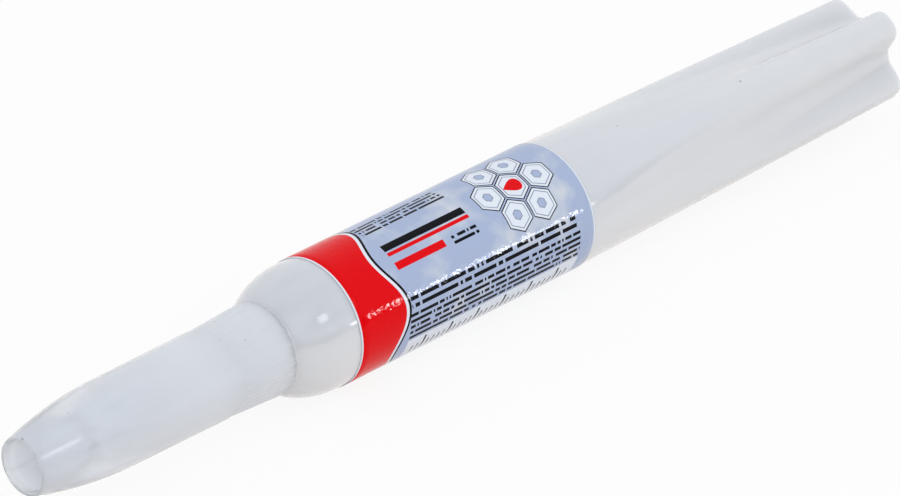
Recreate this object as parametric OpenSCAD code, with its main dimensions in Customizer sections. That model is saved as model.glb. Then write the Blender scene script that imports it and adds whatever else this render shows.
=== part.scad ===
// Super glue bottle in the shape of a pen, lying on its side, with its screw cap on.
// Each piece is drawn upright, from the cap's mouth at zero to the tail, and then laid along +X.

/* [Bottle] */
// Outside radius of the round part of the bottle
body_r = 9; // [7:0.1:12]
// Wall of the blown bottle
wall = 0.9; // [0.7:0.05:1.2]
// Length of the round shoulder along the axis
shoulder_len = 9; // [8:0.1:12]
// Distance from the end of the shoulder to the front edge of the label
shoulder_to_label = 1.25; // [0.2:0.05:3]
// Distance from the rear edge of the label to the start of the lobes
label_to_lobes = 0.6; // [0.3:0.1:4]
// Length of the lobed rear end
lobed_len = 63.4; // [50:0.5:80]
// Radius over the crests of the lobes at the tail
lobe_r = 7.95; // [7.4:0.05:8.6]
// Radius at the bottom of the grooves between the lobes at the tail
groove_r = 4.7; // [4:0.05:6]
// Angle by which the lobes are turned about the axis
lobe_roll = 38; // [0:0.5:90]
// Rounding of the tail's rim
tail_rim = 0.6; // [0.3:0.05:0.8]

/* [Neck] */
// Radius of the hole through the neck
neck_bore_r = 3.4; // [2.8:0.05:3.5]
// Radius of the neck between its threads
neck_r = 4.3; // [4.1:0.05:4.45]
// Length of the neck in front of the shoulder
neck_len = 10.85; // [10:0.05:14]
// Height of the threads of neck and cap
thread_depth = 0.6; // [0.4:0.05:0.7]
// Distance between neighbouring threads along the axis
thread_pitch = 3; // [2.4:0.1:3.6]
// Number of threads that start side by side
thread_starts = 2; // [1:1:2]
// Width of a thread at its root
thread_root_w = 1.5; // [1:0.05:1.6]
// Width of a thread at its crest
thread_crest_w = 0.7; // [0.4:0.05:0.9]

/* [Label] */
// Length of the label along the bottle
label_len = 43.8; // [30:0.1:60]
// Thickness of the label film
label_t = 0.1; // [0.06:0.01:0.2]

/* [Cap] */
// Length of the cap
cap_len = 42.2; // [38:0.1:50]
// Outside radius of the cap at its mouth
tip_r = 4; // [3.8:0.05:4.4]
// Radius of the open mouth
mouth_r = 3.5; // [3.1:0.05:3.6]
// Length over which the nose swells to the sleeve
nose_len = 15.7; // [12:0.1:20]
// Outside radius of the sleeve behind the nose
sleeve_r = 6.1; // [6:0.05:7]
// Length of the ribbed grip at the rear
grip_len = 10; // [9:0.1:12]
// Radius over the ribs at the front of the grip
grip_front_r = 6.08; // [5.95:0.01:6.15]
// Radius over the ribs at the rear edge
grip_rear_r = 6.55; // [6.3:0.05:7]
// Number of ribs round the grip
rib_count = 60; // [40:1:72]
// Depth of the grooves between the ribs
rib_depth = 0.16; // [0.08:0.01:0.2]
// Depth of the open recess in the nose
recess_depth = 8.5; // [7:0.1:10]
// Radius at the floor of the recess
recess_floor_r = 3; // [2.4:0.05:3.1]
// Thickness of the web that carries the sealing pin
web_t = 1.5; // [1:0.1:2]
// Radius of the hollow just behind the web
hollow_front_r = 2.8; // [2.6:0.05:4]
// Radius of the hollow in front of the thread
hollow_rear_r = 4.9; // [4.6:0.05:5.05]

/* [Nozzle] */
// Distance from the web to the tip of the nozzle
tip_gap = 0.4; // [0.3:0.05:1]
// Outside radius at the nozzle's tip
nozzle_tip_r = 1; // [0.9:0.05:1.4]
// Outside radius at the nozzle's root
nozzle_root_r = 3.3; // [2.6:0.05:3.6]
// Radius of the fine orifice
orifice_r = 0.56; // [0.5:0.01:0.6]
// Length of the fine orifice
orifice_len = 5; // [4:0.1:8]
// Radius of the channel behind the orifice
channel_r = 2; // [1.4:0.05:2.2]
// Thickness of the flange on the neck's mouth
flange_t = 0.8; // [0.5:0.05:1.2]
// Length of the plug inside the neck
plug_len = 6; // [4:0.1:9]

/* [Sealing pin] */
// Radius of the pin's shank
pin_r = 0.5; // [0.4:0.01:0.52]
// Length of the shank behind its head
pin_len = 5.8; // [4:0.1:6.5]
// Radius of the pin's head
pin_head_r = 1.5; // [1:0.05:2]
// Thickness of the pin's head
pin_head_t = 0.8; // [0.5:0.05:1.2]

/* [Adhesive] */
// Height of the liquid's surface above the axis as the bottle lies
fill_level = 5.5; // [2:0.1:6]

/* [Hidden] */
// Gap between the cap's rear edge and the bottle's seat behind it
cap_seat_gap = 0.15;
// Length by which the seat stands out in front of the shoulder
seat_len = 0.35;
// Distance from the cap's rear edge in to the edge of the seat
seat_setback = 0.1;
// Gap between the crest of one thread and the root of the other
thread_gap = 0.2;
// Gap between the pin's shank and the hole in the web
pin_gap = 0.04;
// Gap between the pin's head and the web
pin_head_gap = 0.05;
// Gap under the label and round the nozzle's plug
glue_gap = 0.02;
// Depth of the flat that the bottle's weight presses into the film underneath
rest_flat = 0.04;
// Gap between the liquid and the bottle's wall
fill_gap = 0.1;
// Set-back of the nozzle's flange inside the neck's edge
flange_setback = 0.1;
// Step between the lobed end and the round wall that laps it
lap_step = 0.03;
// Length over which the lobed end is lapped by the round wall
lap_len = 1;
// Bevel at the cap's mouth
mouth_bevel = 0.25;
// Swell of the sleeve from the nose to the grip
sleeve_swell = 0.08;
// Distance from the grip's front edge to the start of the grooves
rib_runout = 0.25;
// Distance from the neck's mouth and root to the ends of its threads
thread_end_gap = 1;
// Depth to which the threads' roots are sunk in their walls
thread_sink = 0.3;
// Angle at which the first thread starts
thread_phase = 11;
// Distance that cuts run past the surfaces they cut
overrun = 1;
// Share of a groove's pitch that its opening takes
rib_open_share = 0.72;
// Exponent with which the lobes deepen towards the tail
lobe_growth = 1.2;
lobe_count = 4;
// Facets round the lobed end, rings along it, points on a profile's curve and steps of a thread's turn
lobed_sides = 64;
lobed_rings = 16;
rim_steps = 3;
curve_steps = 12;
thread_steps = 24;
$fn = 96;

grip_s = cap_len - grip_len;
seat_s = cap_len + cap_seat_gap;
land_s = seat_s + seat_len;
neck_s = land_s - neck_len;
web_s = recess_depth;
hollow_s = web_s + web_t;
nozzle_s = hollow_s + tip_gap;
flange_s = neck_s - flange_t;
bore_start_s = grip_s - thread_pitch / 2;
cap_bore_r = neck_r + thread_depth + thread_gap;
thread_len = neck_len - 2 * thread_end_gap - thread_root_w;
thread_lead = thread_pitch * thread_starts;
thread_s = neck_s + thread_end_gap + thread_root_w / 2;

// The shoulder is part of an ellipse round the neck's bore, cut off by a flat seat behind the cap
seat_r = grip_rear_r - seat_setback;
shoulder_rise = body_r - neck_bore_r;
land_angle = acos((seat_r - neck_bore_r) / shoulder_rise);
shoulder_end_s = land_s + shoulder_len * sin(land_angle);
inner_land_angle = asin((shoulder_end_s - land_s - wall) / (shoulder_len - wall));
label_s = shoulder_end_s + shoulder_to_label;
lobes_s = label_s + label_len + label_to_lobes;
tail_s = lobes_s + lobed_len;
label_r = body_r + glue_gap + label_t;
axis_h = label_r - rest_flat;
lobed_wall = wall - 2 * lap_step;
overall_len = tail_s;

// A point on the shoulder's ellipse, drawn in by an inset, at an angle from the cylinder's side
function shoulder_point(angle, inset) = [
    neck_bore_r + (shoulder_rise - inset) * cos(angle),
    shoulder_end_s - (shoulder_len - inset) * sin(angle)
];

// Points along the shoulder between two angles
function shoulder_curve(from, to, inset) = [
    for (i = [0:curve_steps]) shoulder_point(from + (to - from) * i / curve_steps, inset)
];

// Radius of the fully lobed outline at an angle: a smooth step from groove to crest, over a raised cosine
function lobed_outline(angle) =
    let (raised = (1 + cos(lobe_count * (angle - lobe_roll))) / 2)
    groove_r + (lobe_r - groove_r) * pow(raised, 2) * (3 - 2 * raised);

// Radius of the outside at a place along the lobed end: it blends from the cylinder to the lobed outline
function lobed_r(s, angle) =
    let (along = min(1, max(0, (s - lobes_s) / lobed_len)), start_r = body_r - lap_step)
    start_r + pow(along, lobe_growth) * (lobed_outline(angle) - start_r);

// Angle of a facet's corner, counted from a lobe's crest
function corner(i) = lobe_roll + 360 * i / lobed_sides;

// One ring of points at a place along the axis, drawn in by an inset
function lobed_ring(s, place, inset) = [
    for (i = [0:lobed_sides - 1])
        let (r = lobed_r(s, corner(i)) - inset)
        [r * cos(corner(i)), r * sin(corner(i)), place]
];

// A round ring of points at a place along the axis
function round_ring(r, place) = [
    for (i = [0:lobed_sides - 1]) [r * cos(corner(i)), r * sin(corner(i)), place]
];

// A skin over a row of rings, closed at both ends by a fan
module skin(rings) {
    n = len(rings[0]);
    last = len(rings) - 1;
    middle = function (ring) [0, 0, ring[0].z];
    points = [for (ring = rings) each ring, middle(rings[0]), middle(rings[last])];
    sides = [
        for (k = [0:last - 1], i = [0:n - 1])
            let (j = (i + 1) % n, a = k * n + i, b = k * n + j, c = a + n, d = b + n)
            each [[a, c, d], [a, d, b]]
    ];
    first_fan = [for (i = [0:n - 1]) [(last + 1) * n, i, (i + 1) % n]];
    last_fan = [for (i = [0:n - 1]) [(last + 1) * n + 1, last * n + (i + 1) % n, last * n + i]];
    polyhedron(points, concat(sides, first_fan, last_fan), convexity = 10);
}

// Ridges of a screw thread wound on a wall of the given radius, outwards or inwards
module thread(root_r, crest_r, shift) {
    outwards = crest_r > root_r;
    sink_r = outwards ? root_r - thread_sink : root_r + thread_sink;
    spread = thread_sink * (thread_root_w - thread_crest_w) / thread_depth;
    profile = [
        [sink_r, -(thread_root_w + spread) / 2],
        [crest_r, -thread_crest_w / 2],
        [crest_r, thread_crest_w / 2],
        [sink_r, (thread_root_w + spread) / 2]
    ];
    turn = 360 * thread_len / thread_lead;
    steps = ceil(thread_steps * turn / 360);
    outline = outwards ? profile : [for (i = [3:-1:0]) profile[i]];
    points = [
        for (k = [0:steps], p = outline)
            let (angle = turn * k / steps)
            [p.x * cos(angle), p.x * sin(angle), p.y + thread_len * k / steps]
    ];
    sides = [
        for (k = [0:steps - 1], i = [0:3])
            let (j = (i + 1) % 4, a = 4 * k + i, b = 4 * k + j, c = a + 4, d = b + 4)
            each [[a, d, c], [a, b, d]]
    ];
    ends = [[3, 2, 1, 0], [4 * steps, 4 * steps + 1, 4 * steps + 2, 4 * steps + 3]];
    for (start = [0:thread_starts - 1])
        rotate(thread_phase + 360 * start / thread_starts)
            translate([0, 0, thread_s + shift])
                polyhedron(points, concat(sides, ends), convexity = 10);
}

// Lays a piece along +X, with the middle of the object over the origin and the label's flat on the floor
module laid() {
    translate([-overall_len / 2, 0, axis_h])
        rotate([0, 90, 0])
            children();
}

// Neck, seat, shoulder and cylinder as one blown wall
module round_wall() {
    rotate_extrude()
        polygon(concat(
            [[neck_bore_r, neck_s], [neck_r, neck_s], [neck_r, seat_s], [seat_r, seat_s]],
            shoulder_curve(land_angle, 0, 0),
            [[body_r, lobes_s], [body_r - wall, lobes_s]],
            shoulder_curve(0, inner_land_angle, wall),
            [[neck_bore_r, land_s + wall]]
        ));
}

// The rear end: a wall that turns from round to four lobes, with a flat tail
module lobed_wall_end() {
    stations = [for (k = [0:lobed_rings]) lobes_s + (lobed_len - tail_rim) * k / lobed_rings];
    inner_len = lobed_len - wall;
    inner_stations = [for (k = [lobed_rings:-1:0]) lobes_s + inner_len * k / lobed_rings];
    skin(concat(
        [for (s = inner_stations) lobed_ring(s, s, lobed_wall)],
        [lobed_ring(lobes_s, lobes_s - lap_len, lobed_wall)],
        [lobed_ring(lobes_s, lobes_s - lap_len, 0)],
        [for (s = stations) lobed_ring(s, s, 0)],
        [for (k = [1:rim_steps])
            let (angle = 90 * k / rim_steps)
            lobed_ring(tail_s, tail_s - tail_rim * (1 - sin(angle)), tail_rim * (1 - cos(angle)))]
    ));
}

// Blown polyethylene bottle with its threaded neck
module bottle() {
    color("GhostWhite")
        laid() {
            round_wall();
            lobed_wall_end();
            thread(neck_r, neck_r + thread_depth, 0);
        }
}

// Printed film round the cylinder, pressed flat where the bottle lies on it
module label() {
    cut_len = label_len + 2 * overrun;
    color("LightSteelBlue")
        laid()
            translate([0, 0, label_s])
                difference() {
                    cylinder(h = label_len, r = label_r);
                    translate([0, 0, -overrun])
                        cylinder(h = cut_len, r = body_r + glue_gap);
                    translate([axis_h, -body_r, -overrun])
                        cube([overrun, 2 * body_r, cut_len]);
                }
}

// Dropper insert that is pressed into the neck
module nozzle() {
    color("WhiteSmoke")
        laid()
            rotate_extrude()
                polygon([
                    [orifice_r, nozzle_s],
                    [nozzle_tip_r, nozzle_s],
                    [nozzle_root_r, flange_s],
                    [neck_r - flange_setback, flange_s],
                    [neck_r - flange_setback, neck_s],
                    [neck_bore_r - glue_gap, neck_s],
                    [neck_bore_r - glue_gap, neck_s + plug_len],
                    [channel_r, neck_s + plug_len],
                    [channel_r, neck_s],
                    [orifice_r, nozzle_s + orifice_len]
                ]);
}

// One groove of the grip, along the flare of its surface
module rib_groove() {
    flare = atan2(grip_rear_r - grip_front_r, grip_len);
    open_w = 2 * PI * grip_front_r / rib_count * rib_open_share;
    translate([grip_front_r, 0, grip_s])
        rotate([0, flare, 0])
            translate([0, 0, rib_runout])
                linear_extrude(height = grip_len + overrun)
                    polygon([[-rib_depth, 0], [rib_depth, -open_w], [rib_depth, open_w]]);
}

// Outside radius of the nose, which swells from the mouth and runs level into the sleeve
function nose_r(s) = sleeve_r - (sleeve_r - tip_r) * pow((nose_len - s) / nose_len, 2);

// Tapered cap: nose with an open recess, sleeve, ribbed grip, and the hollow for the nozzle
module cap_wall() {
    rotate_extrude()
        polygon(concat(
            [[mouth_r, 0], [tip_r - mouth_bevel, 0]],
            [for (i = [0:curve_steps])
                let (s = mouth_bevel + (nose_len - mouth_bevel) * i / curve_steps)
                [nose_r(s), s]],
            [
                [sleeve_r + sleeve_swell, grip_s],
                [grip_front_r, grip_s],
                [grip_rear_r, cap_len],
                [cap_bore_r, cap_len],
                [cap_bore_r, bore_start_s],
                [hollow_rear_r, bore_start_s],
                [hollow_front_r, hollow_s],
                [pin_r + pin_gap, hollow_s],
                [pin_r + pin_gap, web_s],
                [recess_floor_r, web_s]
            ]
        ));
}

// Moulded screw cap
module cap() {
    color("AliceBlue")
        laid() {
            difference() {
                cap_wall();
                for (i = [0:rib_count - 1])
                    rotate(360 * i / rib_count)
                        rib_groove();
            }
            thread(cap_bore_r, cap_bore_r - thread_depth, -thread_pitch / 2);
        }
}

// Steel pin with a head, through the cap's web into the orifice
module sealing_pin() {
    head_s = web_s - pin_head_gap;
    color("Silver")
        laid()
            rotate_extrude()
                polygon([
                    [0, head_s - pin_head_t],
                    [pin_head_r, head_s - pin_head_t],
                    [pin_head_r, head_s],
                    [pin_r, head_s],
                    [pin_r, head_s + pin_len - pin_r],
                    [0, head_s + pin_len]
                ]);
}

// Liquid in the lying bottle, level on top
module adhesive() {
    inset = lobed_wall + fill_gap;
    front = [for (i = [curve_steps:-1:0]) shoulder_point(inner_land_angle * i / curve_steps, wall)];
    rear_len = lobed_len - wall - fill_gap;
    color("Azure")
        laid()
            intersection() {
                skin(concat(
                    [for (p = front) round_ring(p.x - fill_gap, p.y + fill_gap)],
                    [for (k = [0:lobed_rings])
                        let (s = lobes_s + rear_len * k / lobed_rings)
                        lobed_ring(s, s, inset)]
                ));
                translate([-fill_level, -body_r, 0])
                    cube([body_r + fill_level, 2 * body_r, tail_s]);
            }
}

bottle();
label();
nozzle();
cap();
sealing_pin();
adhesive();
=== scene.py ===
"""Super glue bottle in the shape of a pen: milky bottle, film label, screw cap, dropper nozzle,
sealing pin and liquid."""

import bpy
import numpy as np
from mathutils import Matrix, Vector


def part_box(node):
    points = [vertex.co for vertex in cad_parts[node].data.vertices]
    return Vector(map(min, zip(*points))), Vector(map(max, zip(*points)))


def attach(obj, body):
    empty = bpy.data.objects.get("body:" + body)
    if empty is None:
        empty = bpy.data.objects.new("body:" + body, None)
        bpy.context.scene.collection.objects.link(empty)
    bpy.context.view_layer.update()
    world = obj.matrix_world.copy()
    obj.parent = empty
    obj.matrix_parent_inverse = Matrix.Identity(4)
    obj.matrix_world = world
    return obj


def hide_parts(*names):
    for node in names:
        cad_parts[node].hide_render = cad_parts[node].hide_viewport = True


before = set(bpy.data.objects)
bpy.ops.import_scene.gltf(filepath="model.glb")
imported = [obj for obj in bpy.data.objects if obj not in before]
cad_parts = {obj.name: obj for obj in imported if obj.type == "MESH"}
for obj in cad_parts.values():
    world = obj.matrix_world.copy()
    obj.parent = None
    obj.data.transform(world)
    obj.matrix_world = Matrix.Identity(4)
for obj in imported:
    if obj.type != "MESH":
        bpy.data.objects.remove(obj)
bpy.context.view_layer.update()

# Sizes in millimetres. Places along the axis are counted from the cap's mouth to the tail.
MM = 0.001

# Bottle: cylinder, shoulder, and the rear that turns from round to lobed
BODY_R = 9.0
WALL = 0.9
SHOULDER_LEN = 9.0
SHOULDER_TO_LABEL = 1.25
LABEL_TO_LOBES = 0.6
LOBED_LEN = 63.4
LOBE_R = 7.95
GROOVE_R = 4.7
LOBE_COUNT = 4
LOBE_ROLL = np.radians(38)
LOBE_GROWTH = 1.2
TAIL_RIM = 0.6
TAIL_DISH = 0.35
TAIL_DISH_SHARE = 0.4
INNER_DISH = 0.02

# Neck and its thread
NECK_BORE_R = 3.4
NECK_R = 4.3
NECK_LEN = 10.85
NECK_EDGE = 0.2
NECK_ROOT = 0.3
THREAD_DEPTH = 0.6
THREAD_PITCH = 3.0
THREAD_STARTS = 2
THREAD_ROOT_W = 1.5
THREAD_CREST_W = 0.7
THREAD_END_GAP = 1.0
THREAD_PHASE = np.radians(11)
THREAD_RUNOUT = 0.5

# Seat of the cap, drawn closer to the cap than it is in the solids because the real cap rests on it
CAP_SEAT_GAP = 0.15
SEAT_SHOWN_GAP = 0.04
SEAT_LEN = 0.35
SEAT_SETBACK = 0.1
SEAT_EDGE = 0.06

# Label
LABEL_LEN = 43.8
LABEL_T = 0.1
LABEL_EDGE = 0.03
GLUE_GAP = 0.02

# Cap, whose ribs are drawn at a share of their depth in the solids because the real ones show faintly
CAP_LEN = 42.2
TIP_R = 4.0
MOUTH_R = 3.5
MOUTH_DRAFT = 0.03
MOUTH_LEN = 1.0
NOSE_LEN = 15.7
NOSE_ROUND_SHARE = 0.06
SLEEVE_R = 6.1
SLEEVE_SWELL = 0.08
GRIP_LEN = 10.0
GRIP_FRONT_R = 6.08
GRIP_REAR_R = 6.55
RIB_COUNT = 60
RIB_DEPTH = 0.16
RIB_SHOWN_SHARE = 0.45
RIB_OPEN_SHARE = 0.72
RIB_RUNOUT = 0.25
RECESS_DEPTH = 8.5
RECESS_FLOOR_R = 3.0
WEB_T = 1.5
HOLLOW_FRONT_R = 2.8
HOLLOW_REAR_R = 4.9
THREAD_GAP = 0.2

# Faint mould seam along the wall of the cap's recess
SEAM_DEPTH = 0.2
SEAM_HALF_W = 0.14
SEAM_ANGLE = np.radians(57)

# Milkiness of the cap: of its inner skin below a depth, of its recess, and growing towards the grip
HAZE_DEPTH = 0.55
HAZE_FADE = 0.3
RECESS_HAZE = 0.75
GRIP_HAZE = 0.8
GRIP_HAZE_LEN = 24

# Nozzle
TIP_GAP = 0.4
NOZZLE_TIP_R = 1.0
NOZZLE_ROOT_R = 3.3
ORIFICE_R = 0.56
ORIFICE_LEN = 5.0
CHANNEL_R = 2.0
FLANGE_T = 0.8
FLANGE_SETBACK = 0.1
PLUG_LEN = 6.0

# Sealing pin
PIN_R = 0.5
PIN_LEN = 5.8
PIN_HEAD_R = 1.5
PIN_HEAD_T = 0.8
PIN_GAP = 0.04
PIN_HEAD_GAP = 0.05

# Liquid
FILL_LEVEL = 5.5
FILL_GAP = 0.1

# Columns round each piece, points of a rounded corner, and the first ring at a pole
BODY_COLUMNS = 240
RIB_COLUMNS = 5
NOZZLE_COLUMNS = 96
PIN_COLUMNS = 64
FILL_COLUMNS = 128
CORNER_STEPS = 5
POLE_R = 0.02

# Stations along the axis, and radii, that follow from the sizes
GRIP_S = CAP_LEN - GRIP_LEN
SEAT_S = CAP_LEN + CAP_SEAT_GAP
LAND_S = SEAT_S + SEAT_LEN
NECK_S = LAND_S - NECK_LEN
WEB_S = RECESS_DEPTH
HOLLOW_S = WEB_S + WEB_T
NOZZLE_S = HOLLOW_S + TIP_GAP
FLANGE_S = NECK_S - FLANGE_T
BORE_S = GRIP_S - THREAD_PITCH / 2
CAP_BORE_R = NECK_R + THREAD_DEPTH + THREAD_GAP
RECESS_FRONT_R = MOUTH_R - MOUTH_DRAFT
THREAD_LEN = NECK_LEN - 2 * THREAD_END_GAP - THREAD_ROOT_W
THREAD_LEAD = THREAD_PITCH * THREAD_STARTS
THREAD_S = NECK_S + THREAD_END_GAP + THREAD_ROOT_W / 2
SHOULDER_RISE = BODY_R - NECK_BORE_R
SEAT_R = GRIP_REAR_R - SEAT_SETBACK
LAND_ANGLE = np.arccos((SEAT_R - NECK_BORE_R) / SHOULDER_RISE)
SHOULDER_END_S = LAND_S + SHOULDER_LEN * np.sin(LAND_ANGLE)
INNER_LAND_ANGLE = np.arcsin((SHOULDER_END_S - LAND_S - WALL) / (SHOULDER_LEN - WALL))
LABEL_S = SHOULDER_END_S + SHOULDER_TO_LABEL
LOBES_S = LABEL_S + LABEL_LEN + LABEL_TO_LOBES
TAIL_S = LOBES_S + LOBED_LEN
LABEL_R = BODY_R + GLUE_GAP + LABEL_T

# Where the axis lies in the frame, in metres
FRONT_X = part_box("cap")[0].x
AXIS_Z = (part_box("bottle")[0].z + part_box("bottle")[1].z) / 2

# Inks of the label, and the colour of specks in the plastics
LAVENDER = "#afbad2"
SILVER = "#d6d8db"
RED = "#ea000a"
NAVY = "#090a10"
WHITE = "#e9ecf0"
GREY = "#8e96a6"
SPECK = "#a2a6ad"

# The label's design in millimetres: u runs along the label, v round it from the design's upper edge
PRINT_ROUND = np.pi * LABEL_R
PRINT_START = LABEL_R * np.radians(141.6)
MARGIN = 0.25

# Wavy band: its edges along the label and their inks, how far they swing, and the waves in one design
BAND_EDGES = ((8.3, NAVY), (7.9, WHITE), (7.4, RED))
BAND_SWING = 1.1
BAND_WAVES = 2

# Bars: ink, then the rectangle as its middle and half length in u, and its middle and half width in v
PRINT_BARS = (
    (NAVY, (17, 7.5, 9.6, 0.55)),
    (RED, (17, 7.5, 10.7, 0.28)),
    (RED, (14, 4.5, 12.6, 0.55)),
    (WHITE, (25, 16, 25.4, 1.9)),
)

# Rows of dashes: the rectangle that they fill, the pitch of the rows, and the step at which a dash may break
DASH_BLOCKS = (
    ((17, 7.5, 4.8, 1.6), 0.8, 0.3),
    ((25, 15.5, 17.85, 1.05), 1.05, 0.42),
    ((25, 16, 21.25, 2.125), 0.85, 0.3),
    ((22.2, 2.3, 12.8, 0.8), 0.8, 0.3),
)
DASH_HALF_SHARE = 0.26
DASH_BREAK_CHANCE = 0.16

# Rows of ticks: their pitch, half a tick's width, and the rectangle that they fill
TICK_ROWS = (
    (1, 0.14, (25, 15, 25.9, 0.8)),
    (5, 0.2, (25, 15, 25.3, 1.3)),
)

# Hexagon cells: place of the middle one, pitch, direction square to a slanted side, and inks by half width
COMB_U = 33.8
COMB_V = 9.6
CELL_COUNT = 7
CELL_PITCH = 4.6
CELL_SLANT = (0.5, 0.866, 0)
CELL_EDGES = ((2.2, NAVY), (2.04, WHITE), (1.75, GREY), (1.62, WHITE), (0.7, GREY), (0.57, LAVENDER))
FAR_AWAY = 99.0

# Drop in the middle cell: from its tip to its round end, and half its width
DROP_TIP = 1.7
DROP_END = 1.5
DROP_HALF_W = 1.05

# Sockets of a colour Mix node: its share, its two colours, and the colour that comes out
SHARE = 0
COLOUR_A = 6
COLOUR_B = 7
MIXED = 2

# Sky in front of the bottle: its colours by height, from 0 at the horizon to 1 straight up
SKY_LEVEL = "#5f6873"
SKY_BANDS = ((0.1, "#6c7682"), (0.22, "#dbe2ec"), (0.3, "#f3f7fd"), (0.45, "#e6eef9"))
SKY_TOP = "#eaf2ff"

# Lamps: name, place in metres, direction of the first side, both sides in metres, watts and colour
LAMPS = (
    ("window", (-0.75, -0.75, 0.9), (1, -1, 0), (1.2, 0.9), 1.8, "#f1f6ff"),
    ("low_lamp", (0.62, -0.774, 0.105), (0.78, 0.62, 0), (0.055, 0.06), 0.95, "#ffffff"),
    ("upper_lamp", (0.113, -0.785, 0.609), (0.99, 0.14, 0), (0.22, 0.2), 0.4, "#ffffff"),
)


def around(columns):
    """Angles of the columns round the axis, from straight down towards +Y."""
    return np.arange(columns) * 2 * np.pi / columns


def place(along, radius, angle):
    """World points in metres of places along the axis, radii and angles: y = r sin a, z = axis - r cos a."""
    along, radius, angle = np.broadcast_arrays(along, radius, angle)
    return np.stack((
        FRONT_X + along * MM,
        radius * np.sin(angle) * MM,
        AXIS_Z - radius * np.cos(angle) * MM,
    ), axis=-1)


def smooth_step(share):
    """An S-curve from 0 to 1: s^2 (3 - 2s), with s held between 0 and 1."""
    share = np.clip(share, 0, 1)
    return share ** 2 * (3 - 2 * share)


def rounded(corners):
    """A path of (along, radius) points through corners (along, radius, setback in millimetres).
    Each corner becomes the parabola (1-q)^2 a + 2q(1-q) p + q^2 b between points set back on both sides."""
    corners = np.array(corners, float)
    point, setback = corners[:, :2], corners[:, 2:]
    before, after = np.roll(point, 1, axis=0), np.roll(point, -1, axis=0)
    start = point + setback * (before - point) / np.linalg.norm(before - point, axis=1, keepdims=True)
    end = point + setback * (after - point) / np.linalg.norm(after - point, axis=1, keepdims=True)
    q = np.linspace(0, 1, CORNER_STEPS)[None, :, None]
    curve = (1 - q) ** 2 * start[:, None] + 2 * q * (1 - q) * point[:, None] + q ** 2 * end[:, None]
    return curve.reshape(-1, 2)


def dense(path, step, closed=False):
    """The same path with points added so that none lie further apart than a step; repeated points go."""
    same_point = 1e-6
    if closed:
        path = np.vstack((path, path[:1]))
    lengths = np.concatenate(([0], np.cumsum(np.linalg.norm(np.diff(path, axis=0), axis=1))))
    fresh = np.concatenate(([True], np.diff(lengths) > same_point))
    path, lengths = path[fresh], lengths[fresh]
    pieces = np.maximum(1, np.ceil(np.diff(lengths) / step).astype(int))
    spots = np.concatenate([
        a + (b - a) * np.arange(n) / n for a, b, n in zip(lengths, lengths[1:], pieces)
    ])
    if not closed:
        spots = np.append(spots, lengths[-1])
    return np.stack([np.interp(spots, lengths, path[:, k]) for k in (0, 1)], axis=1)


def helix_ridge(along, angle, shift):
    """Height of the screw thread above its wall: a trapezoid across the distance to the nearest turn of the
    helix, whose place along the axis grows by one lead a turn, and which fades out at its two ends."""
    first = THREAD_S + shift
    on_helix = first + THREAD_LEAD * (angle - THREAD_PHASE) / (2 * np.pi)
    off = (along - on_helix + THREAD_PITCH / 2) % THREAD_PITCH - THREAD_PITCH / 2
    flank = (THREAD_ROOT_W - THREAD_CREST_W) / 2
    height = np.clip((THREAD_ROOT_W / 2 - np.abs(off)) / flank, 0, 1)
    centre = along - off
    inside = np.minimum(centre - first, first + THREAD_LEN - centre)
    return THREAD_DEPTH * height * np.clip(inside / THREAD_RUNOUT, 0, 1)


def add_piece(name, points, closed, material, node_name, body):
    """A piece whose surface is a grid of points: rows follow its profile, columns go once round the axis.
    A closed profile joins its last row to its first. An open one ends in a pole on the axis at both ends."""
    rows, columns = points.shape[:2]
    index = np.arange(rows * columns).reshape(rows, columns)
    if closed:
        index = np.vstack((index, index[:1]))
    beside = np.roll(index, -1, axis=1)
    quads = np.stack((index[:-1], beside[:-1], beside[1:], index[1:]), axis=-1).reshape(-1, 4)
    vertices = points.reshape(-1, 3)
    faces = quads.tolist()
    if not closed:
        poles = points[[0, -1]].mean(axis=1)
        first, last = len(vertices), len(vertices) + 1
        vertices = np.vstack((vertices, poles))
        faces += np.stack((np.full(columns, first), beside[0], index[0]), axis=-1).tolist()
        faces += np.stack((np.full(columns, last), index[-1], beside[-1]), axis=-1).tolist()
    mesh = bpy.data.meshes.new(name)
    mesh.from_pydata(vertices.tolist(), [], faces)
    mesh.shade_smooth()
    mesh.materials.append(material)
    piece = bpy.data.objects.new(name, mesh)
    bpy.context.scene.collection.objects.link(piece)
    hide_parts(node_name)
    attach(piece, body)
    return piece


def linear(code):
    """Linear RGBA of an sRGB hex colour."""
    srgb = np.array([int(code[i:i + 2], 16) for i in (1, 3, 5)]) / 255
    rgb = np.where(srgb <= 0.04045, srgb / 12.92, ((srgb + 0.055) / 1.055) ** 2.4)
    return (*rgb.tolist(), 1.0)


def node(tree, kind, inputs=None, **settings):
    """Adds one shader node. Settings are its properties. Inputs, by name or number, are values, sockets
    to link, or nodes whose first output is linked."""
    made = tree.nodes.new(kind)
    for name, value in settings.items():
        setattr(made, name, value)
    for key, value in (inputs or {}).items():
        if isinstance(value, bpy.types.Node):
            value = value.outputs[0]
        if isinstance(value, bpy.types.NodeSocket):
            tree.links.new(value, made.inputs[key])
        else:
            made.inputs[key].default_value = value
    return made


def new_material(name):
    """An empty material and its node tree."""
    material = bpy.data.materials.new(name)
    material.use_nodes = True
    material.node_tree.nodes.clear()
    return material, material.node_tree


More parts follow.
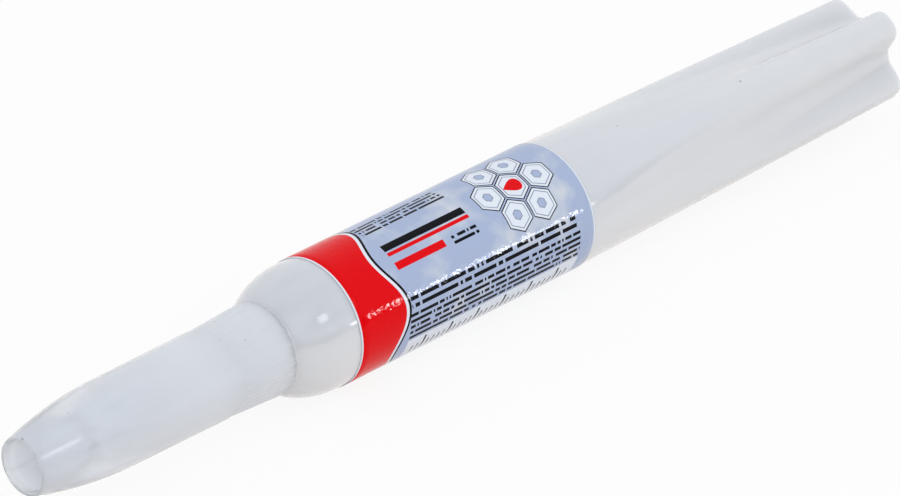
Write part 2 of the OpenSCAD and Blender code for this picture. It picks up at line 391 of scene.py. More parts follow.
def milky_polyethylene():
    """Natural low-density polyethylene, blown in a polished mould: milky, so that light soaks a millimetre
    or two into it, with faint streaks along it, a clean gloss with a slow unevenness that dulls towards the
    tail, and here and there a dark speck. Its colour is greyest at the shoulder and on top, and paler towards
    the tail; low down it is painted paler and warmer, as painted light from the floor below."""
    cloud_share = 0.3
    streak_share = 0.4
    speck_size = 0.03
    material, tree = new_material("milky_polyethylene")
    where = node(tree, "ShaderNodeTexCoord").outputs["Object"]
    split = node(tree, "ShaderNodeSeparateXYZ", {0: where})
    to_tail = node(tree, "ShaderNodeMapRange", {
        "Value": split.outputs["X"],
        "From Min": FRONT_X + LABEL_S * MM,
        "From Max": FRONT_X + TAIL_S * MM,
        "To Max": 0.8,
    })
    # Painted light: the colour turns paler and warmer low down, standing in for light from the floor below
    painted_light_below = node(tree, "ShaderNodeMapRange", {
        "Value": split.outputs["Z"],
        "From Min": AXIS_Z + 5 * MM,
        "From Max": AXIS_Z - 1 * MM,
        "To Max": 0.9,
    })
    cloud = node(tree, "ShaderNodeTexNoise", {"Vector": where, "Scale": 1 / (14 * MM), "Detail": 2.0})
    drawn = node(tree, "ShaderNodeMapping", {"Vector": where, "Scale": (0.04, 1.0, 1.0)})
    streak = node(tree, "ShaderNodeTexNoise", {"Vector": drawn, "Scale": 1 / (2.5 * MM), "Detail": 1.0})
    # Paler towards the tail, paler low down as painted light from below, and random clouds and streaks in the
    # plastic
    paler = node(tree, "ShaderNodeMath", {0: to_tail, 1: painted_light_below}, operation="MAXIMUM")
    for pattern, share in ((cloud, cloud_share), (streak, streak_share)):
        paler = node(tree, "ShaderNodeMath", {0: pattern, 1: share, 2: paler}, operation="MULTIPLY_ADD")
    tint = node(tree, "ShaderNodeMix", {
        SHARE: paler,
        COLOUR_A: linear("#cccdd0"),
        COLOUR_B: linear("#e1dfdd"),
    }, data_type="RGBA").outputs[MIXED]
    cells = node(tree, "ShaderNodeTexVoronoi", {"Vector": where, "Scale": 1 / (6 * MM)})
    speck = node(tree, "ShaderNodeMath", {0: cells, 1: speck_size}, operation="LESS_THAN")
    colour = node(tree, "ShaderNodeMix", {
        SHARE: speck,
        COLOUR_A: tint,
        COLOUR_B: linear(SPECK),
    }, data_type="RGBA").outputs[MIXED]
    sheen = node(tree, "ShaderNodeMapRange", {"Value": cloud, "To Min": 0.11, "To Max": 0.16})
    wave = node(tree, "ShaderNodeTexNoise", {"Vector": where, "Scale": 1 / (6 * MM), "Detail": 1.0})
    bump = node(tree, "ShaderNodeBump", {"Height": wave, "Distance": 0.05 * MM, "Strength": 0.25})
    gloss = node(tree, "ShaderNodeMapRange", {
        "Value": to_tail,
        "From Min": 0.4,
        "From Max": 0.7,
        "To Min": 1.0,
        "To Max": 0.15,
    })
    surface = node(tree, "ShaderNodeBsdfPrincipled", {
        "Base Color": colour,
        "Roughness": sheen,
        "IOR": 1.51,
        "Specular IOR Level": 0.15,
        "Coat Weight": gloss,
        "Coat Roughness": 0.06,
        "Coat IOR": 1.6,
        "Subsurface Weight": 0.8,
        "Subsurface Radius": (1.0, 1.0, 1.0),
        "Subsurface Scale": 1.5 * MM,
        "Normal": bump,
    })
    node(tree, "ShaderNodeOutputMaterial", {"Surface": surface})
    return material


def clear_polypropylene():
    """Natural polypropylene, injection moulded: see-through enough at the glossy nose that the hollow shows
    as a darker core between paler walls, with faint flow streaks along its length and a few dark specks. The
    attribute haze marks where it is matt and milky: more and more towards the ribbed grip, and on the skin
    of the hollow."""
    speck_size = 0.035
    material, tree = new_material("cap_polypropylene")
    where = node(tree, "ShaderNodeTexCoord").outputs["Object"]
    haze = node(tree, "ShaderNodeAttribute", attribute_name="haze").outputs["Fac"]
    drawn = node(tree, "ShaderNodeMapping", {"Vector": where, "Scale": (0.08, 1.0, 1.0)})
    streak = node(tree, "ShaderNodeTexNoise", {"Vector": drawn, "Scale": 1 / (1.2 * MM), "Detail": 2.0})
    tint = node(tree, "ShaderNodeMix", {
        SHARE: streak,
        COLOUR_A: linear("#eff2fa"),
        COLOUR_B: linear("#fafcff"),
    }, data_type="RGBA").outputs[MIXED]
    milky = node(tree, "ShaderNodeMix", {
        SHARE: haze,
        COLOUR_A: tint,
        COLOUR_B: linear("#fbfcff"),
    }, data_type="RGBA").outputs[MIXED]
    cells = node(tree, "ShaderNodeTexVoronoi", {"Vector": where, "Scale": 1 / (4.4 * MM)})
    speck = node(tree, "ShaderNodeMath", {0: cells, 1: speck_size}, operation="LESS_THAN")
    colour = node(tree, "ShaderNodeMix", {
        SHARE: speck,
        COLOUR_A: milky,
        COLOUR_B: linear(SPECK),
    }, data_type="RGBA").outputs[MIXED]
    clear = node(tree, "ShaderNodeMapRange", {"Value": haze, "To Min": 0.62, "To Max": 0.05})
    matt = node(tree, "ShaderNodeMapRange", {"Value": haze, "To Min": 0.16, "To Max": 0.26})
    gloss = node(tree, "ShaderNodeMapRange", {"Value": haze, "To Min": 0.9, "To Max": 0.0})
    bump = node(tree, "ShaderNodeBump", {"Height": streak, "Distance": 0.02 * MM, "Strength": 0.5})
    surface = node(tree, "ShaderNodeBsdfPrincipled", {
        "Base Color": colour,
        "Roughness": matt,
        "IOR": 1.3,
        "Specular IOR Level": 0.25,
        "Transmission Weight": clear,
        "Coat Weight": gloss,
        "Coat Roughness": 0.06,
        "Subsurface Weight": 0.9,
        "Subsurface Radius": (1.0, 1.0, 1.0),
        "Subsurface Scale": 3.0 * MM,
        "Normal": bump,
    })
    node(tree, "ShaderNodeOutputMaterial", {"Surface": surface})
    return material


def natural_polyethylene():
    """Natural polyethylene of the dropper, injection moulded: whiter than the bottle, with a waxy gloss."""
    material, tree = new_material("nozzle_polyethylene")
    where = node(tree, "ShaderNodeTexCoord").outputs["Object"]
    cloud = node(tree, "ShaderNodeTexNoise", {"Vector": where, "Scale": 1 / (2.5 * MM), "Detail": 2.0})
    tint = node(tree, "ShaderNodeMix", {
        SHARE: cloud,
        COLOUR_A: linear("#e3e6e9"),
        COLOUR_B: linear("#eef0f1"),
    }, data_type="RGBA").outputs[MIXED]
    bump = node(tree, "ShaderNodeBump", {"Height": cloud, "Distance": 0.02 * MM, "Strength": 0.5})
    surface = node(tree, "ShaderNodeBsdfPrincipled", {
        "Base Color": tint,
        "Roughness": 0.34,
        "IOR": 1.51,
        "Subsurface Weight": 0.7,
        "Subsurface Radius": (1.0, 1.0, 1.0),
        "Subsurface Scale": 1.2 * MM,
        "Normal": bump,
    })
    node(tree, "ShaderNodeOutputMaterial", {"Surface": surface})
    return material


def drawn_steel():
    """Stainless steel wire, drawn through a die: bright grey with fine lines along its length, which are
    coarser here than real ones so that they show."""
    material, tree = new_material("pin_steel")
    where = node(tree, "ShaderNodeTexCoord").outputs["Object"]
    drawn = node(tree, "ShaderNodeMapping", {"Vector": where, "Scale": (0.05, 1.0, 1.0)})
    line = node(tree, "ShaderNodeTexNoise", {"Vector": drawn, "Scale": 1 / (0.08 * MM), "Detail": 1.0})
    tint = node(tree, "ShaderNodeMix", {
        SHARE: line,
        COLOUR_A: linear("#b9bbbd"),
        COLOUR_B: linear("#d0d2d3"),
    }, data_type="RGBA").outputs[MIXED]
    rough = node(tree, "ShaderNodeMapRange", {"Value": line, "To Min": 0.2, "To Max": 0.38})
    surface = node(tree, "ShaderNodeBsdfPrincipled", {
        "Base Color": tint,
        "Roughness": rough,
        "Metallic": 1.0,
    })
    node(tree, "ShaderNodeOutputMaterial", {"Surface": surface})
    return material


def clear_adhesive():
    """Cyanoacrylate, a thin clear liquid: water-white and glossy, with the faintest blue."""
    material, tree = new_material("clear_adhesive")
    where = node(tree, "ShaderNodeTexCoord").outputs["Object"]
    swirl = node(tree, "ShaderNodeTexNoise", {"Vector": where, "Scale": 1 / (10 * MM), "Detail": 1.0})
    tint = node(tree, "ShaderNodeMix", {
        SHARE: swirl,
        COLOUR_A: linear("#eef3f7"),
        COLOUR_B: linear("#f6f9fb"),
    }, data_type="RGBA").outputs[MIXED]
    surface = node(tree, "ShaderNodeBsdfPrincipled", {
        "Base Color": tint,
        "Roughness": 0.02,
        "IOR": 1.45,
        "Transmission Weight": 1.0,
    })
    node(tree, "ShaderNodeOutputMaterial", {"Surface": surface})
    return material


def film_block(tree, u, v, block):
    """1 inside a rectangle of the film and 0 outside it."""
    u_mid, u_half, v_mid, v_half = block
    across = node(tree, "ShaderNodeMath", {0: u, 1: u_mid, 2: u_half}, operation="COMPARE")
    upright = node(tree, "ShaderNodeMath", {0: v, 1: v_mid, 2: v_half}, operation="COMPARE")
    return node(tree, "ShaderNodeMath", {0: across, 1: upright}, operation="MULTIPLY")


def film_prints(tree, u, v):
    """The label's design as pairs of a mask, 1 where it prints and 0 elsewhere, and an ink, the lowest
    first."""
    prints = []
    turn_per_mm = 2 * np.pi * BAND_WAVES / PRINT_ROUND
    wave = node(tree, "ShaderNodeMath", {0: v, 1: turn_per_mm}, operation="MULTIPLY")
    swing = node(tree, "ShaderNodeMath", {0: wave}, operation="SINE")
    from_wave = node(tree, "ShaderNodeMath", {0: swing, 1: -BAND_SWING, 2: u}, operation="MULTIPLY_ADD")
    for edge, colour in BAND_EDGES:
        band = node(tree, "ShaderNodeMath", {0: from_wave, 1: edge}, operation="LESS_THAN")
        prints.append((band, colour))

    for colour, block in PRINT_BARS:
        prints.append((film_block(tree, u, v, block), colour))

    for block, pitch, width in DASH_BLOCKS:
        v_start = block[2] - block[3]
        row_at = node(tree, "ShaderNodeMath", {0: v, 1: v_start}, operation="SUBTRACT")
        row = node(tree, "ShaderNodeMath", {0: row_at, 1: pitch}, operation="DIVIDE")
        row_number = node(tree, "ShaderNodeMath", {0: row}, operation="FLOOR")
        in_row = node(tree, "ShaderNodeMath", {0: row}, operation="FRACT")
        on_line = node(tree, "ShaderNodeMath", {0: in_row, 1: 0.5, 2: DASH_HALF_SHARE}, operation="COMPARE")
        step = node(tree, "ShaderNodeMath", {0: u, 1: width}, operation="DIVIDE")
        step_number = node(tree, "ShaderNodeMath", {0: step}, operation="FLOOR")
        cell = node(tree, "ShaderNodeCombineXYZ", {0: step_number, 1: row_number})
        chance = node(tree, "ShaderNodeTexWhiteNoise", {"Vector": cell}, noise_dimensions="2D")
        inked = node(tree, "ShaderNodeMath", {0: chance, 1: DASH_BREAK_CHANCE}, operation="GREATER_THAN")
        dash = node(tree, "ShaderNodeMath", {0: on_line, 1: inked}, operation="MULTIPLY")
        within = film_block(tree, u, v, block)
        shown = node(tree, "ShaderNodeMath", {0: within, 1: dash}, operation="MULTIPLY")
        prints.append((shown, NAVY))

    for pitch, half_width, block in TICK_ROWS:
        beat = node(tree, "ShaderNodeMath", {0: u, 1: pitch}, operation="FLOORED_MODULO")
        tick = node(tree, "ShaderNodeMath", {0: beat, 1: pitch / 2, 2: half_width}, operation="COMPARE")
        within = film_block(tree, u, v, block)
        shown = node(tree, "ShaderNodeMath", {0: within, 1: tick}, operation="MULTIPLY")
        prints.append((shown, NAVY))

    spot = node(tree, "ShaderNodeCombineXYZ", {0: u, 1: v})
    nearest = FAR_AWAY
    for cell_number in range(CELL_COUNT):
        reach = CELL_PITCH if cell_number else 0
        turn = 2 * np.pi * cell_number / (CELL_COUNT - 1)
        centre = (COMB_U + reach * np.cos(turn), COMB_V + reach * np.sin(turn), 0)
        offset = node(tree, "ShaderNodeVectorMath", {0: spot, 1: centre}, operation="SUBTRACT")
        size = node(tree, "ShaderNodeVectorMath", {0: offset}, operation="ABSOLUTE")
        lean = node(tree, "ShaderNodeVectorMath", {0: size, 1: CELL_SLANT}, operation="DOT_PRODUCT")
        wide = node(tree, "ShaderNodeSeparateXYZ", {0: size})
        from_cell = node(tree, "ShaderNodeMath", {0: lean.outputs["Value"], 1: wide}, operation="MAXIMUM")
        nearest = node(tree, "ShaderNodeMath", {0: nearest, 1: from_cell}, operation="MINIMUM")
    for edge, colour in CELL_EDGES:
        cells = node(tree, "ShaderNodeMath", {0: nearest, 1: edge}, operation="LESS_THAN")
        prints.append((cells, colour))

    # The drop's half width, squared, is 4 w^2 p^2 (1 - p^2), where p goes from 0 at its tip to 1 at its end
    side = node(tree, "ShaderNodeMath", {0: v, 1: COMB_V}, operation="SUBTRACT")
    side = node(tree, "ShaderNodeMath", {0: side, 1: side}, operation="MULTIPLY")
    way = node(tree, "ShaderNodeMapRange", {
        "Value": u,
        "From Min": COMB_U - DROP_TIP,
        "From Max": COMB_U + DROP_END,
    })
    way = node(tree, "ShaderNodeMath", {0: way, 1: way}, operation="MULTIPLY")
    rest = node(tree, "ShaderNodeMath", {0: 1.0, 1: way}, operation="SUBTRACT")
    plump = node(tree, "ShaderNodeMath", {0: way, 1: rest}, operation="MULTIPLY")
    plump = node(tree, "ShaderNodeMath", {0: plump, 1: 4 * DROP_HALF_W ** 2}, operation="MULTIPLY")
    drop = node(tree, "ShaderNodeMath", {0: side, 1: plump}, operation="LESS_THAN")
    prints.append((drop, RED))

    for edge in (0, LABEL_LEN):
        margin = node(tree, "ShaderNodeMath", {0: u, 1: edge, 2: MARGIN}, operation="COMPARE")
        prints.append((margin, WHITE))
    return prints


def printed_film():
    """Polypropylene film, printed and varnished: lavender with silvery clouds, red, white and navy inks, a
    hard gloss and fine wrinkles that break up the glint along it. The design is read from the film's own map
    in millimetres, u along the bottle and v round it, and comes twice round the bottle."""
    cloud_mm = 7
    wrinkle_mm = 0.8
    material, tree = new_material("label_film")
    flat = node(tree, "ShaderNodeUVMap", uv_map="film_mm")
    split = node(tree, "ShaderNodeSeparateXYZ", {0: flat})
    u = split.outputs[0]
    turned = node(tree, "ShaderNodeMath", {0: split.outputs[1], 1: PRINT_START}, operation="SUBTRACT")
    v = node(tree, "ShaderNodeMath", {0: turned, 1: PRINT_ROUND}, operation="FLOORED_MODULO")
    cloud = node(tree, "ShaderNodeTexNoise", {"Vector": flat, "Scale": 1 / cloud_mm, "Detail": 3.0})
    silver = node(tree, "ShaderNodeMapRange", {"Value": cloud, "From Min": 0.52, "From Max": 0.72})
    ink = node(tree, "ShaderNodeMix", {
        SHARE: silver,
        COLOUR_A: linear(LAVENDER),
        COLOUR_B: linear(SILVER),
    }, data_type="RGBA").outputs[MIXED]
    for mask, colour in film_prints(tree, u, v):
        ink = node(tree, "ShaderNodeMix", {
            SHARE: mask,
            COLOUR_A: ink,
            COLOUR_B: linear(colour),
        }, data_type="RGBA").outputs[MIXED]
    wrinkle = node(tree, "ShaderNodeTexNoise", {"Vector": flat, "Scale": 1 / wrinkle_mm, "Detail": 1.0})
    bump = node(tree, "ShaderNodeBump", {"Height": wrinkle, "Distance": 0.04 * MM, "Strength": 1.0})
    surface = node(tree, "ShaderNodeBsdfPrincipled", {
        "Base Color": ink,
        "Roughness": 0.1,
        "IOR": 1.49,
        "Specular IOR Level": 0.1,
        "Normal": bump,
    })
    node(tree, "ShaderNodeOutputMaterial", {"Surface": surface})
    return material


def lobed_outline(angle):
    """Radius of the fully lobed outline: a smooth step from groove to crest, over a raised cosine of the
    angle."""
    raised = (1 + np.cos(LOBE_COUNT * (angle - LOBE_ROLL))) / 2
    return GROOVE_R + (LOBE_R - GROOVE_R) * smooth_step(raised)


def lobed_radius(along, angle, inset):
    """Radius of the rear wall: it blends from the cylinder to the lobed outline as a power of the way to the
    tail, and is drawn in by an inset."""
    way = np.clip((along - LOBES_S) / LOBED_LEN, 0, 1)
    return BODY_R + way ** LOBE_GROWTH * (lobed_outline(angle) - BODY_R) - inset


def shoulder_path(inset, angles):
    """Points of the shoulder's ellipse about the neck's bore, drawn in by an inset."""
    return np.stack((
        SHOULDER_END_S - (SHOULDER_LEN - inset) * np.sin(angles),
        NECK_BORE_R + (SHOULDER_RISE - inset) * np.cos(angles),
    ), axis=1)


def make_bottle():
    """The blown wall as one skin: from the tail's inside forward to the neck's mouth, and back outside to the
    tail. Its profile goes round the axis, with the thread's ridge on the neck and the lobes at the rear."""
    angle = around(BODY_COLUMNS)[None, :]
    # Rings of an end face, as shares of its radius
    face = np.linspace(0.04, 1, 12)[:, None]

    inner_end = TAIL_S - WALL
    inner_face = place(inner_end - INNER_DISH * face, face * lobed_radius(inner_end, angle, WALL), angle)
    inner_lobes = np.linspace(inner_end, LOBES_S, 60)[1:, None]
    inner_rear = place(inner_lobes, lobed_radius(inner_lobes, angle, WALL), angle)
    inner_front = dense(np.vstack((
        [(LOBES_S - 1, BODY_R - WALL)],
        shoulder_path(WALL, np.linspace(0, INNER_LAND_ANGLE, 16)),
        [(LAND_S + WALL, NECK_BORE_R + NECK_ROOT), (LAND_S + WALL - NECK_ROOT, NECK_BORE_R)],
        [(NECK_S + NECK_EDGE, NECK_BORE_R), (NECK_S + NECK_EDGE / 4, NECK_BORE_R + NECK_EDGE / 4)],
        [(NECK_S, NECK_BORE_R + NECK_EDGE)],
    )), step=2.0)

    arc_share = 0.3
    seat_s = CAP_LEN + SEAT_SHOWN_GAP
    neck_path = dense(np.array([
        (NECK_S, NECK_R - NECK_EDGE),
        (NECK_S + arc_share * NECK_EDGE, NECK_R - arc_share * NECK_EDGE),
        (NECK_S + NECK_EDGE, NECK_R),
        (seat_s - NECK_ROOT, NECK_R),
        (seat_s - arc_share * NECK_ROOT, NECK_R + arc_share * NECK_ROOT),
        (seat_s, NECK_R + NECK_ROOT),
        (seat_s, SEAT_R - SEAT_EDGE),
        (seat_s + SEAT_EDGE / 3, SEAT_R - SEAT_EDGE / 3),
        (seat_s + SEAT_EDGE, SEAT_R),
    ]), step=0.12)
    neck_s, neck_r = neck_path[:, :1], neck_path[:, 1:]
    neck = place(neck_s, neck_r + helix_ridge(neck_s, angle, 0.0), angle)
    outer_path = dense(np.vstack((
        shoulder_path(0, np.linspace(LAND_ANGLE, 0, 36)),
        [(LOBES_S, BODY_R)],
    )), step=2.0)
    outer_lobes = np.linspace(LOBES_S, TAIL_S - TAIL_RIM, 80)[1:, None]
    outer_rear = place(outer_lobes, lobed_radius(outer_lobes, angle, 0), angle)

    turn = np.linspace(0, np.pi / 2, 8)[1:, None]
    rim_s = TAIL_S - TAIL_RIM * (1 - np.sin(turn))
    rim = place(rim_s, lobed_radius(TAIL_S, angle, TAIL_RIM * (1 - np.cos(turn))), angle)
    inward = face[::-1][1:]
    dish_s = TAIL_S - TAIL_DISH * smooth_step((1 - inward) / TAIL_DISH_SHARE)
    dish = place(dish_s, inward * lobed_radius(TAIL_S, angle, TAIL_RIM), angle)
    points = np.concatenate((
        inner_face,
        inner_rear,
        place(inner_front[:, :1], inner_front[:, 1:], angle),
        neck,
        place(outer_path[:, :1], outer_path[:, 1:], angle),
        outer_rear,
        rim,
        dish,
    ))
    add_piece("bottle_wall", points, False, milky_polyethylene(), "bottle", "bottle")


def make_label():
    """The film as a thin closed sleeve round the axis, pressed flat on the floor, with a map of millimetres
    along and round it."""
    angle = around(BODY_COLUMNS)[None, :]
    inner_r = LABEL_R - LABEL_T
    end_s = LABEL_S + LABEL_LEN
    path = dense(np.array([
        (LABEL_S, LABEL_R - LABEL_EDGE),
        (LABEL_S + LABEL_EDGE, LABEL_R),
        (end_s - LABEL_EDGE, LABEL_R),
        (end_s, LABEL_R - LABEL_EDGE),
        (end_s, inner_r),
        (LABEL_S, inner_r),
    ]), step=1.5, closed=True)
    points = place(path[:, :1], path[:, 1:], angle)
    points[..., 2] = np.maximum(points[..., 2], 0)
    piece = add_piece("film_label", points, True, printed_film(), "label", "bottle")

    column = np.arange(BODY_COLUMNS)
    column_ends = np.stack((column, column + 1, column + 1, column), axis=1)
    round_mm = column_ends * 2 * np.pi * LABEL_R / BODY_COLUMNS
    ahead = np.roll(path[:, 0], -1)
    along_mm = np.stack((path[:, 0], path[:, 0], ahead, ahead), axis=1) - LABEL_S
    film = np.stack(np.broadcast_arrays(along_mm[:, None, :], round_mm[None, :, :]), axis=-1)
    film_map = piece.data.uv_layers.new(name="film_mm")
    film_map.data.foreach_set("uv", film.ravel())


def make_cap():
    """The moulded cap as one closed skin round its wall. Its nose is a parabola, and its profile goes round
    the axis with grooves cut between the ribs of the grip, a thread's ridge in its bore and a seam's groove
    in its recess. The attribute haze says how milky each point is."""
    angle = around(RIB_COLUMNS * RIB_COUNT)[None, :]
    nose_s = np.linspace(NOSE_LEN * NOSE_ROUND_SHARE, NOSE_LEN, 24)
    nose_r = SLEEVE_R - (SLEEVE_R - TIP_R) * ((NOSE_LEN - nose_s) / NOSE_LEN) ** 2
    mouth_path = rounded([
        (MOUTH_LEN, RECESS_FRONT_R, 0),
        (0, MOUTH_R, 0.15),
        (0, TIP_R, 0.25),
        (nose_s[0], nose_r[0], 0),
    ])[CORNER_STEPS:-CORNER_STEPS]
    rear_path = rounded([
        (GRIP_S - 1, SLEEVE_R + SLEEVE_SWELL, 0),
        (GRIP_S, SLEEVE_R + SLEEVE_SWELL, 0.08),
        (GRIP_S, GRIP_FRONT_R, 0.04),
        (CAP_LEN, GRIP_REAR_R, 0.06),
        (CAP_LEN, CAP_BORE_R, 0.15),
        (BORE_S, CAP_BORE_R, 0.07),
        (BORE_S, HOLLOW_REAR_R, 0.07),
        (HOLLOW_S, HOLLOW_FRONT_R, 0.5),
        (HOLLOW_S, PIN_R + PIN_GAP, 0.06),
        (WEB_S, PIN_R + PIN_GAP, 0.06),
        (WEB_S, RECESS_FLOOR_R, 0.4),
        (MOUTH_LEN, RECESS_FRONT_R, 0),
    ])[:-CORNER_STEPS]
    nose_path = np.stack((nose_s, nose_r), axis=1)
    path = dense(np.vstack((mouth_path, nose_path, rear_path)), step=0.4, closed=True)
    along, radius = path[:, :1], path[:, 1:]

    grip_r = GRIP_FRONT_R + (GRIP_REAR_R - GRIP_FRONT_R) * (along - GRIP_S) / GRIP_LEN
    on_grip = np.clip(1 + (radius - grip_r) / (2 * RIB_DEPTH), 0, 1)
    on_grip = on_grip * np.clip((along - GRIP_S - RIB_RUNOUT / 2) / RIB_RUNOUT, 0, 1)
    rib_angle = 2 * np.pi / RIB_COUNT
    off = np.abs((angle + rib_angle / 2) % rib_angle - rib_angle / 2) / rib_angle
    groove = RIB_SHOWN_SHARE * RIB_DEPTH * on_grip * np.clip(1 - off / (RIB_OPEN_SHARE / 2), 0, 1)

    near_recess = 0.05
    recess_slope = (RECESS_FLOOR_R - RECESS_FRONT_R) / (WEB_S - MOUTH_LEN)
    recess_r = RECESS_FRONT_R + recess_slope * (along - MOUTH_LEN)
    in_recess = (np.abs(radius - recess_r) < near_recess) & (along < WEB_S)
    from_seam = np.abs(angle - SEAM_ANGLE) * recess_r
    seam = SEAM_DEPTH * np.clip(1 - from_seam / SEAM_HALF_W, 0, 1) * in_recess

    near_bore = 0.1
    in_bore = (np.abs(radius - CAP_BORE_R) < near_bore) & (along > BORE_S)
    ridge = helix_ridge(along, angle, -THREAD_PITCH / 2) * in_bore
    points = place(along, radius - groove - ridge + seam, angle)
    piece = add_piece("cap_shell", points, True, clear_polypropylene(), "cap", "cap")

    outside_s = np.append(nose_s, (GRIP_S, CAP_LEN))
    outside_r = np.append(nose_r, (GRIP_FRONT_R, GRIP_REAR_R))
    depth = np.interp(along, outside_s, outside_r) - radius
    haze = np.clip((depth - HAZE_DEPTH) / HAZE_FADE, 0, 1) * np.where(in_recess, RECESS_HAZE, 1.0)
    to_grip = (along - GRIP_S + GRIP_HAZE_LEN) / GRIP_HAZE_LEN
    haze = np.maximum(haze, GRIP_HAZE * smooth_step(to_grip))
    mark = piece.data.attributes.new("haze", "FLOAT", "POINT")
    mark.data.foreach_set("value", np.repeat(haze.ravel(), points.shape[1]))


def make_nozzle():
    """The dropper insert as one closed profile carried round the axis: cone, flange and plug outside,
    channel and fine orifice inside."""
    path = rounded([
        (NOZZLE_S, ORIFICE_R, 0.06),
        (NOZZLE_S, NOZZLE_TIP_R, 0.2),
        (FLANGE_S, NOZZLE_ROOT_R, 0.5),
        (FLANGE_S, NECK_R - FLANGE_SETBACK, 0.2),
        (NECK_S, NECK_R - FLANGE_SETBACK, 0.1),
        (NECK_S, NECK_BORE_R - GLUE_GAP, 0.1),
        (NECK_S + PLUG_LEN, NECK_BORE_R - GLUE_GAP, 0.4),
        (NECK_S + PLUG_LEN, CHANNEL_R, 0.2),
        (NECK_S, CHANNEL_R, 0.3),
        (NOZZLE_S + ORIFICE_LEN, ORIFICE_R, 0.3),
    ])
    path = dense(path, step=0.7, closed=True)
    points = place(path[:, :1], path[:, 1:], around(NOZZLE_COLUMNS)[None, :])
    add_piece("dropper_nozzle", points, True, natural_polyethylene(), "nozzle", "bottle")


def make_pin():
    """The sealing pin, a profile carried round the axis: a domed head in front of the web and a pointed shank
    behind it."""
    head_s = WEB_S - PIN_HEAD_GAP
    path = rounded([
        (head_s - PIN_HEAD_T, POLE_R, 0),
        (head_s - PIN_HEAD_T, PIN_HEAD_R, 0.35),
        (head_s, PIN_HEAD_R, 0.1),
        (head_s, PIN_R, 0.08),
        (head_s + PIN_LEN - PIN_R, PIN_R, 0.2),
        (head_s + PIN_LEN, POLE_R, 0),
    ])
    path = dense(path, step=0.3)
    points = place(path[:, :1], path[:, 1:], around(PIN_COLUMNS)[None, :])
    add_piece("pin_with_head", points, False, drawn_steel(), "sealing_pin", "pin")


def make_adhesive():
    """The liquid: the inside of the wall drawn in by a gap, with everything above its level lowered to the
    level."""
    angle = around(FILL_COLUMNS)[None, :]
    inset = WALL + FILL_GAP
    end_s = TAIL_S - inset
    # Rings of an end face, as shares of its radius
    face = np.linspace(0.1, 1, 6)[:, None]
    front = shoulder_path(WALL, np.linspace(INNER_LAND_ANGLE, 0, 14)) + (FILL_GAP, -FILL_GAP)
    rear_s = np.linspace(SHOULDER_END_S + 1, end_s, 70)[:, None]
    points = np.concatenate((
        place(front[0, 0], face[:-1] * front[0, 1], angle),
        place(front[:, :1], front[:, 1:], angle),
        place(rear_s, lobed_radius(rear_s, angle, inset), angle),
        place(end_s, face[::-1][1:] * lobed_radius(end_s, angle, inset), angle),
    ))
    points[..., 2] = np.minimum(points[..., 2], AXIS_Z + FILL_LEVEL * MM)
    add_piece("liquid_fill", points, False, clear_adhesive(), "adhesive", "bottle")


def make_floor():
    """A wide pale floor under the bottle. To the camera, and in gloss and clear plastic, it is nine tenths
    plain white, and the last tenth keeps the shadow."""
    half = 6.0
    white_share = 0.9
    mesh = bpy.data.meshes.new("floor")
    corners = [(-half, -half, 0), (half, -half, 0), (half, half, 0), (-half, half, 0)]
    mesh.from_pydata(corners, [], [(0, 1, 2, 3)])
    material, tree = new_material("pale_floor")
    path = node(tree, "ShaderNodeLightPath")
    camera_ray = path.outputs["Is Camera Ray"]
    seen = camera_ray
    for ray in ("Is Glossy Ray", "Is Transmission Ray"):
        seen = node(tree, "ShaderNodeMath", {0: seen, 1: path.outputs[ray]}, operation="MAXIMUM")
    share = node(tree, "ShaderNodeMath", {0: seen, 1: white_share}, operation="MULTIPLY")
    white = node(tree, "ShaderNodeMix", {
        SHARE: camera_ray,
        COLOUR_A: linear("#fcf9f6"),
        COLOUR_B: linear("#ffffff"),
    }, data_type="RGBA").outputs[MIXED]
    paper = node(tree, "ShaderNodeBsdfDiffuse", {"Color": linear("#f5f1ed")})
    glow = node(tree, "ShaderNodeEmission", {"Color": white, "Strength": 1.0})
    mixed = node(tree, "ShaderNodeMixShader", {0: share, 1: paper, 2: glow})
    node(tree, "ShaderNodeOutputMaterial", {"Surface": mixed})
    mesh.materials.append(material)
    floor = bpy.data.objects.new("floor", mesh)
    bpy.context.scene.collection.objects.link(floor)


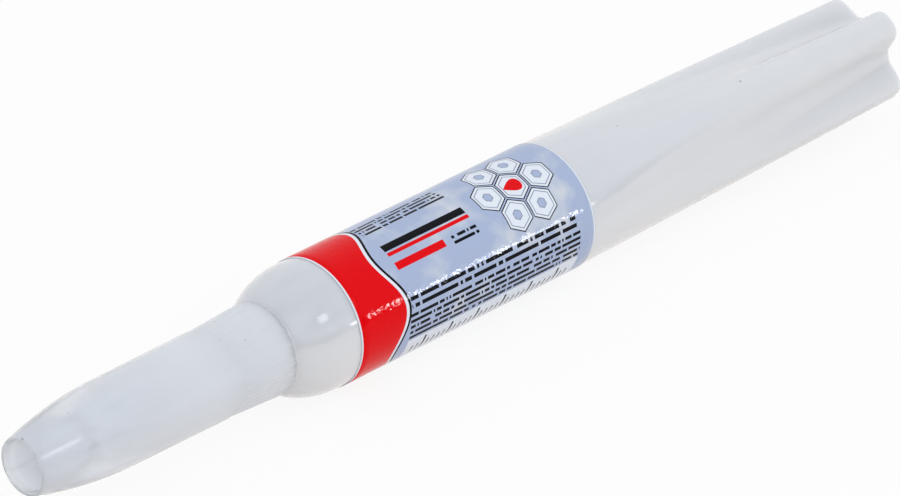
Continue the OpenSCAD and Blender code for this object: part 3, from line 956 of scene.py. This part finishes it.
def make_sky():
    """A soft cool room: a pale backdrop behind the bottle, and in front a sky that is dim at the horizon,
    which draws a line along the glossy plastic."""
    world = bpy.data.worlds.new("soft_room")
    world.use_nodes = True
    tree = world.node_tree
    tree.nodes.clear()
    direction = node(tree, "ShaderNodeTexCoord").outputs["Generated"]
    split = node(tree, "ShaderNodeSeparateXYZ", {0: direction})
    ramp = node(tree, "ShaderNodeValToRGB", {0: split.outputs["Z"]})
    ramp.color_ramp.elements[0].color = linear(SKY_LEVEL)
    ramp.color_ramp.elements[1].color = linear(SKY_TOP)
    for height, colour in SKY_BANDS:
        ramp.color_ramp.elements.new(height).color = linear(colour)
    behind = node(tree, "ShaderNodeMapRange", {
        "Value": split.outputs["Y"],
        "From Min": -0.3,
        "From Max": 0.2,
    })
    room = node(tree, "ShaderNodeMix", {
        SHARE: behind,
        COLOUR_A: ramp,
        COLOUR_B: linear("#f0f3f8"),
    }, data_type="RGBA").outputs[MIXED]
    light = node(tree, "ShaderNodeBackground", {"Color": room, "Strength": 1.0})
    node(tree, "ShaderNodeOutputWorld", {"Surface": light})
    bpy.context.scene.world = world


def add_lamp(name, spot, along, sides, watts, colour):
    """A rectangular soft lamp at a spot, facing the bottle, with its first side along a direction."""
    lamp = bpy.data.lights.new(name, "AREA")
    lamp.shape = "RECTANGLE"
    lamp.size, lamp.size_y = sides
    lamp.energy = watts
    lamp.color = linear(colour)[:3]
    toward = Vector(spot).normalized()
    side = Vector(along) - Vector(along).dot(toward) * toward
    side.normalize()
    holder = bpy.data.objects.new(name, lamp)
    turn = Matrix((side, toward.cross(side), toward)).transposed()
    holder.matrix_world = Matrix.Translation(spot) @ turn.to_4x4()
    bpy.context.scene.collection.objects.link(holder)


def make_camera():
    """The photograph's camera: a long lens, with a point of the bottle's axis held at its pixel."""
    frame_px = np.array((900, 496))
    focal_px = 8000
    azimuth, elevation = np.radians(-45.71), np.radians(29.03)
    distance = 1.0678
    held_px = np.array((555.24, 202.06))
    held_s = LABEL_S + 45.7
    held = np.array((FRONT_X + held_s * MM, 0, AXIS_Z))
    right = np.array((np.cos(azimuth), np.sin(azimuth), 0))
    back = np.array((
        np.sin(azimuth) * np.cos(elevation),
        -np.cos(azimuth) * np.cos(elevation),
        np.sin(elevation),
    ))
    up = np.cross(back, right)
    off_x, off_y = (held_px - frame_px / 2) / focal_px * distance
    spot = held + distance * back - off_x * right + off_y * up
    data = bpy.data.cameras.new("camera")
    data.sensor_width = 36
    data.lens = data.sensor_width * focal_px / frame_px[0]
    data.clip_start, data.clip_end = 0.05, 20
    camera = bpy.data.objects.new("camera", data)
    turn = Matrix([[*row, 0] for row in np.stack((right, up, back), axis=1)] + [[0, 0, 0, 1]])
    camera.matrix_world = Matrix.Translation(spot) @ turn
    bpy.context.scene.collection.objects.link(camera)
    bpy.context.scene.camera = camera


make_bottle()
make_label()
make_cap()
make_nozzle()
make_pin()
make_adhesive()
make_floor()
make_sky()
for lamp_values in LAMPS:
    add_lamp(*lamp_values)
make_camera()
bpy.context.scene.view_settings.view_transform = "Standard"
